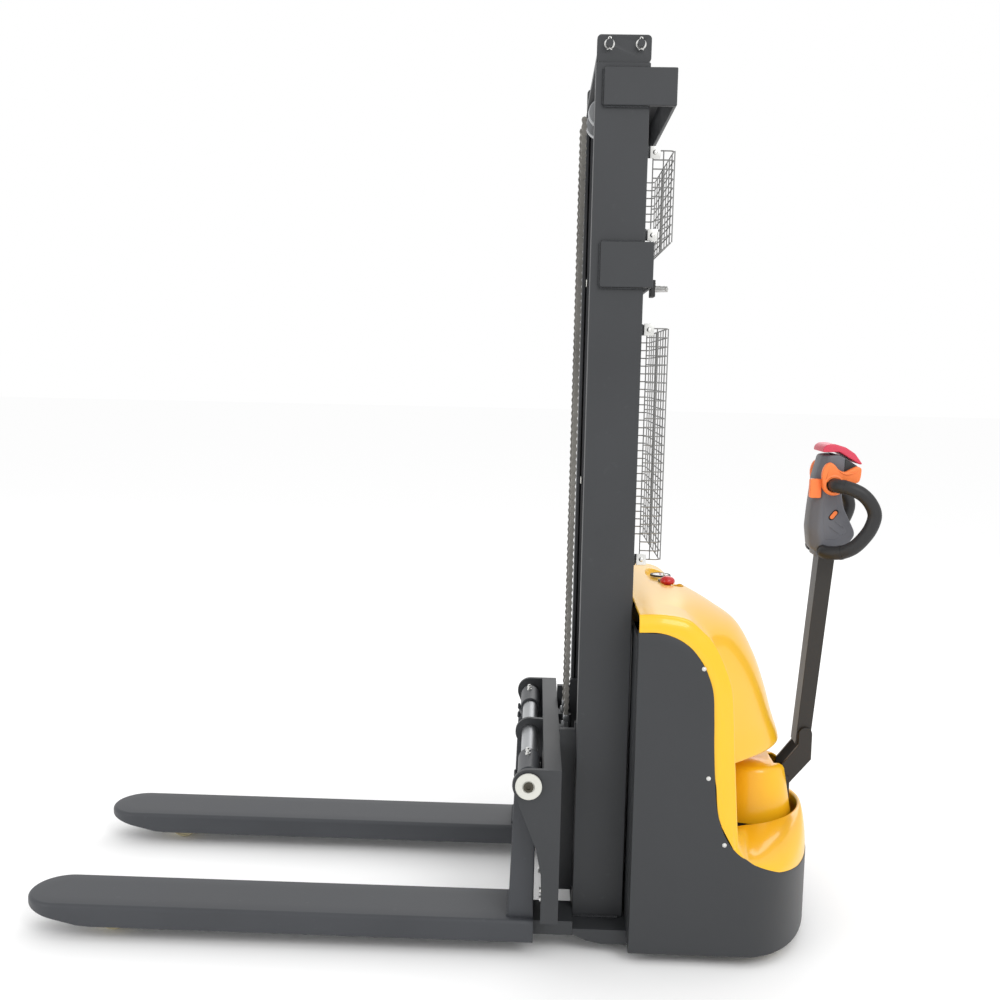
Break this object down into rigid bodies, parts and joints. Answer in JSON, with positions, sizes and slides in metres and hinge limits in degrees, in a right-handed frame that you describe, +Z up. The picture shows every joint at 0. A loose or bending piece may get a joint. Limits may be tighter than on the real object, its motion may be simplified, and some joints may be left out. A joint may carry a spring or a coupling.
{
  "type": "walkie stacker",
  "caption": "Pedestrian electric stacker with two-stage mast, forks on a round bar over base legs, mesh guards, moulded hood and a tiller with loop grips.",
  "frame": {"origin": "on the floor at the middle of the footprint", "axes": "+X from the fork tips towards the operator, +Y to the right of an operator facing the forks, +Z up"},
  "size_m": [1.924, 0.772, 1.988],
  "materials": {
    "fork_paint": "satin",
    "frame_paint": "satin",
    "machined_steel": "machined",
    "zinc_plate": "bright zinc plate",
    "chain_steel": "oiled",
    "yellow_gloss": "gloss paint",
    "black_plastic": "matt",
    "arm_paint": "satin",
    "head_plastic": "fine grain",
    "orange_plastic": "satin",
    "red_plastic": "gloss",
    "pad_red": "satin",
    "grip_rubber": "soft matt",
    "drive_tyre": "matt",
    "roller_urethane": "satin"
  },
  "bodies": {
    "chassis": {"leg_left": "frame_paint", "leg_right": "frame_paint", "chassis_frame": "frame_paint", "outer_channel_left": "frame_paint", "outer_channel_right": "frame_paint", "upper_cross_member": "frame_paint", "lower_cross_member": "frame_paint", "lift_cylinder": "frame_paint", "body_shell_left": "frame_paint", "body_shell_right": "frame_paint", "hood": "yellow_gloss", "rear_collar": "yellow_gloss", "battery": "black_plastic", "oil_tank": "machined_steel", "pump_motor": "black_plastic", "motor_controller": "black_plastic", "mesh_guard_lower": "zinc_plate", "mesh_guard_upper": "zinc_plate", "limit_switch": "black_plastic"},
    "inner_mast": {"inner_mast": "frame_paint", "piston_rod": "machined_steel", "lift_chain_left": "chain_steel", "lift_chain_right": "chain_steel"},
    "carriage": {"carriage_frame": "frame_paint", "fork_bar": "machined_steel", "bar_end_cap_left": "zinc_plate", "bar_end_cap_right": "zinc_plate"},
    "fork_left": {"fork_left": "fork_paint"},
    "fork_right": {"fork_right": "fork_paint"},
    "drive_head": {"drive_head": "frame_paint", "drive_motor": "black_plastic", "turret_cover": "yellow_gloss"},
    "tiller": {"tiller_arm": "arm_paint", "tiller_head": "head_plastic", "grip_left": "grip_rubber", "grip_right": "grip_rubber"},
    "throttle": {"throttle_left": "orange_plastic", "throttle_right": "orange_plastic"},
    "key_switch": {"key_switch": "machined_steel"},
    "carriage_roller_lower_left": {"carriage_roller_lower_left": "machined_steel"},
    "carriage_roller_lower_right": {"carriage_roller_lower_right": "machined_steel"},
    "carriage_roller_upper_left": {"carriage_roller_upper_left": "machined_steel"},
    "carriage_roller_upper_right": {"carriage_roller_upper_right": "machined_steel"},
    "mast_roller_left": {"mast_roller_left": "machined_steel"},
    "mast_roller_right": {"mast_roller_right": "machined_steel"},
    "chain_sheave_left": {"chain_sheave_left": "machined_steel"},
    "chain_sheave_right": {"chain_sheave_right": "machined_steel"},
    "switch_lever": {"switch_lever": "zinc_plate"},
    "caster_fork_left": {"caster_fork_left": "zinc_plate"},
    "caster_fork_right": {"caster_fork_right": "zinc_plate"},
    "lift_button": {"lift_button": "orange_plastic"},
    "creep_button": {"creep_button": "orange_plastic"},
    "horn_button": {"horn_button": "orange_plastic"},
    "emergency_stop": {"emergency_stop": "red_plastic"},
    "safety_pad": {"safety_pad": "pad_red"},
    "drive_wheel": {"drive_wheel": "drive_tyre"},
    "load_wheel_left": {"load_wheel_left": "roller_urethane"},
    "load_wheel_right": {"load_wheel_right": "roller_urethane"},
    "caster_wheel_left": {"caster_wheel_left": "roller_urethane"},
    "caster_wheel_right": {"caster_wheel_right": "roller_urethane"}
  },
  "joints": [
    {"name": "mast_lift", "type": "slide", "parent": "chassis", "child": "inner_mast", "axis": [0, 0, 1], "range_m": [0, 1.38]},
    {"name": "carriage_lift", "type": "slide", "parent": "inner_mast", "child": "carriage", "axis": [0, 0, 1], "range_m": [0, 1.38], "deforming": ["lift_chain_left", "lift_chain_right"]},
    {"name": "carriage_roller_lower_left_spin", "type": "hinge", "parent": "carriage", "child": "carriage_roller_lower_left", "pos_m": [0.333, -0.208, 0.215], "axis": [0, 1, 0], "continuous": true},
    {"name": "carriage_roller_lower_right_spin", "type": "hinge", "parent": "carriage", "child": "carriage_roller_lower_right", "pos_m": [0.333, 0.208, 0.215], "axis": [0, 1, 0], "continuous": true},
    {"name": "carriage_roller_upper_left_spin", "type": "hinge", "parent": "carriage", "child": "carriage_roller_upper_left", "pos_m": [0.333, -0.208, 0.44], "axis": [0, 1, 0], "continuous": true},
    {"name": "carriage_roller_upper_right_spin", "type": "hinge", "parent": "carriage", "child": "carriage_roller_upper_right", "pos_m": [0.333, 0.208, 0.44], "axis": [0, 1, 0], "continuous": true},
    {"name": "mast_roller_left_spin", "type": "hinge", "parent": "inner_mast", "child": "mast_roller_left", "pos_m": [0.333, -0.231, 0.122], "axis": [0, 1, 0], "continuous": true},
    {"name": "mast_roller_right_spin", "type": "hinge", "parent": "inner_mast", "child": "mast_roller_right", "pos_m": [0.333, 0.231, 0.122], "axis": [0, 1, 0], "continuous": true},
    {"name": "chain_sheave_left_spin", "type": "hinge", "parent": "inner_mast", "child": "chain_sheave_left", "pos_m": [0.3, -0.062, 1.866], "axis": [0, 1, 0], "continuous": true},
    {"name": "chain_sheave_right_spin", "type": "hinge", "parent": "inner_mast", "child": "chain_sheave_right", "pos_m": [0.3, 0.062, 1.866], "axis": [0, 1, 0], "continuous": true},
    {"name": "fork_left_shift", "type": "slide", "parent": "carriage", "child": "fork_left", "axis": [0, 1, 0], "range_m": [-0.012, 0.012]},
    {"name": "fork_right_shift", "type": "slide", "parent": "carriage", "child": "fork_right", "axis": [0, 1, 0], "range_m": [-0.012, 0.012]},
    {"name": "load_wheel_left_spin", "type": "hinge", "parent": "chassis", "child": "load_wheel_left", "pos_m": [-0.767, -0.2625, 0.037], "axis": [0, 1, 0], "continuous": true},
    {"name": "load_wheel_right_spin", "type": "hinge", "parent": "chassis", "child": "load_wheel_right", "pos_m": [-0.767, 0.2625, 0.037], "axis": [0, 1, 0], "continuous": true},
    {"name": "steer", "type": "hinge", "parent": "chassis", "child": "drive_head", "pos_m": [0.715, 0, 0], "axis": [0, 0, 1], "range_deg": [-50, 50]},
    {"name": "drive_wheel_spin", "type": "hinge", "parent": "drive_head", "child": "drive_wheel", "pos_m": [0.715, 0, 0.1], "axis": [0, 1, 0], "continuous": true},
    {"name": "caster_left_swivel", "type": "hinge", "parent": "chassis", "child": "caster_fork_left", "pos_m": [0.658, -0.258, 0], "axis": [0, 0, 1], "continuous": true},
    {"name": "caster_wheel_left_spin", "type": "hinge", "parent": "caster_fork_left", "child": "caster_wheel_left", "pos_m": [0.692, -0.258, 0.05], "axis": [0, 1, 0], "continuous": true},
    {"name": "caster_right_swivel", "type": "hinge", "parent": "chassis", "child": "caster_fork_right", "pos_m": [0.658, 0.258, 0], "axis": [0, 0, 1], "continuous": true},
    {"name": "caster_wheel_right_spin", "type": "hinge", "parent": "caster_fork_right", "child": "caster_wheel_right", "pos_m": [0.692, 0.258, 0.05], "axis": [0, 1, 0], "continuous": true},
    {"name": "tiller_tilt", "type": "hinge", "parent": "drive_head", "child": "tiller", "pos_m": [0.792, 0, 0.318], "axis": [0, 1, 0], "range_deg": [0, 75], "stiffness_Nm_per_rad": 30, "springref_deg": -34.38},
    {"name": "safety_pad_press", "type": "slide", "parent": "tiller", "child": "safety_pad", "axis": [0, 0, -1], "range_m": [0, 0.003], "stiffness_N_per_m": 900},
    {"name": "throttle_turn", "type": "hinge", "parent": "tiller", "child": "throttle", "pos_m": [0.864, 0, 1.037], "axis": [0, 1, 0], "range_deg": [-20, 20], "stiffness_Nm_per_rad": 1.2},
    {"name": "lift_button_press", "type": "slide", "parent": "tiller", "child": "lift_button", "axis": [0, 1, 0], "range_m": [0, 0.003], "stiffness_N_per_m": 500},
    {"name": "creep_button_press", "type": "slide", "parent": "tiller", "child": "creep_button", "axis": [0, 1, 0], "range_m": [0, 0.0025], "stiffness_N_per_m": 500},
    {"name": "horn_button_press", "type": "slide", "parent": "tiller", "child": "horn_button", "axis": [0, -1, 0], "range_m": [0, 0.0025], "stiffness_N_per_m": 500},
    {"name": "emergency_stop_press", "type": "slide", "parent": "chassis", "child": "emergency_stop", "axis": [0, 0, -1], "range_m": [0, 0.004], "stiffness_N_per_m": 900},
    {"name": "key_turn", "type": "hinge", "parent": "chassis", "child": "key_switch", "pos_m": [0.502, 0.13, 0.78], "axis": [0, 0, 1], "range_deg": [0, 90]},
    {"name": "switch_lever_tilt", "type": "hinge", "parent": "chassis", "child": "switch_lever", "pos_m": [0.417, -0.19, 1.468], "axis": [0, 1, 0], "range_deg": [-8, 8], "stiffness_Nm_per_rad": 1.5}
  ],
  "couplings": [
    {"joint": "carriage_lift", "follows": "mast_lift", "ratio": 1},
    {"joint": "carriage_roller_lower_left_spin", "follows": "mast_lift", "rad_per_m": 27.397},
    {"joint": "carriage_roller_lower_right_spin", "follows": "mast_lift", "rad_per_m": 27.397},
    {"joint": "carriage_roller_upper_left_spin", "follows": "mast_lift", "rad_per_m": 27.397},
    {"joint": "carriage_roller_upper_right_spin", "follows": "mast_lift", "rad_per_m": 27.397},
    {"joint": "mast_roller_left_spin", "follows": "mast_lift", "rad_per_m": 21.277},
    {"joint": "mast_roller_right_spin", "follows": "mast_lift", "rad_per_m": 21.277},
    {"joint": "chain_sheave_left_spin", "follows": "mast_lift", "rad_per_m": 32.258},
    {"joint": "chain_sheave_right_spin", "follows": "mast_lift", "rad_per_m": 32.258}
  ]
}
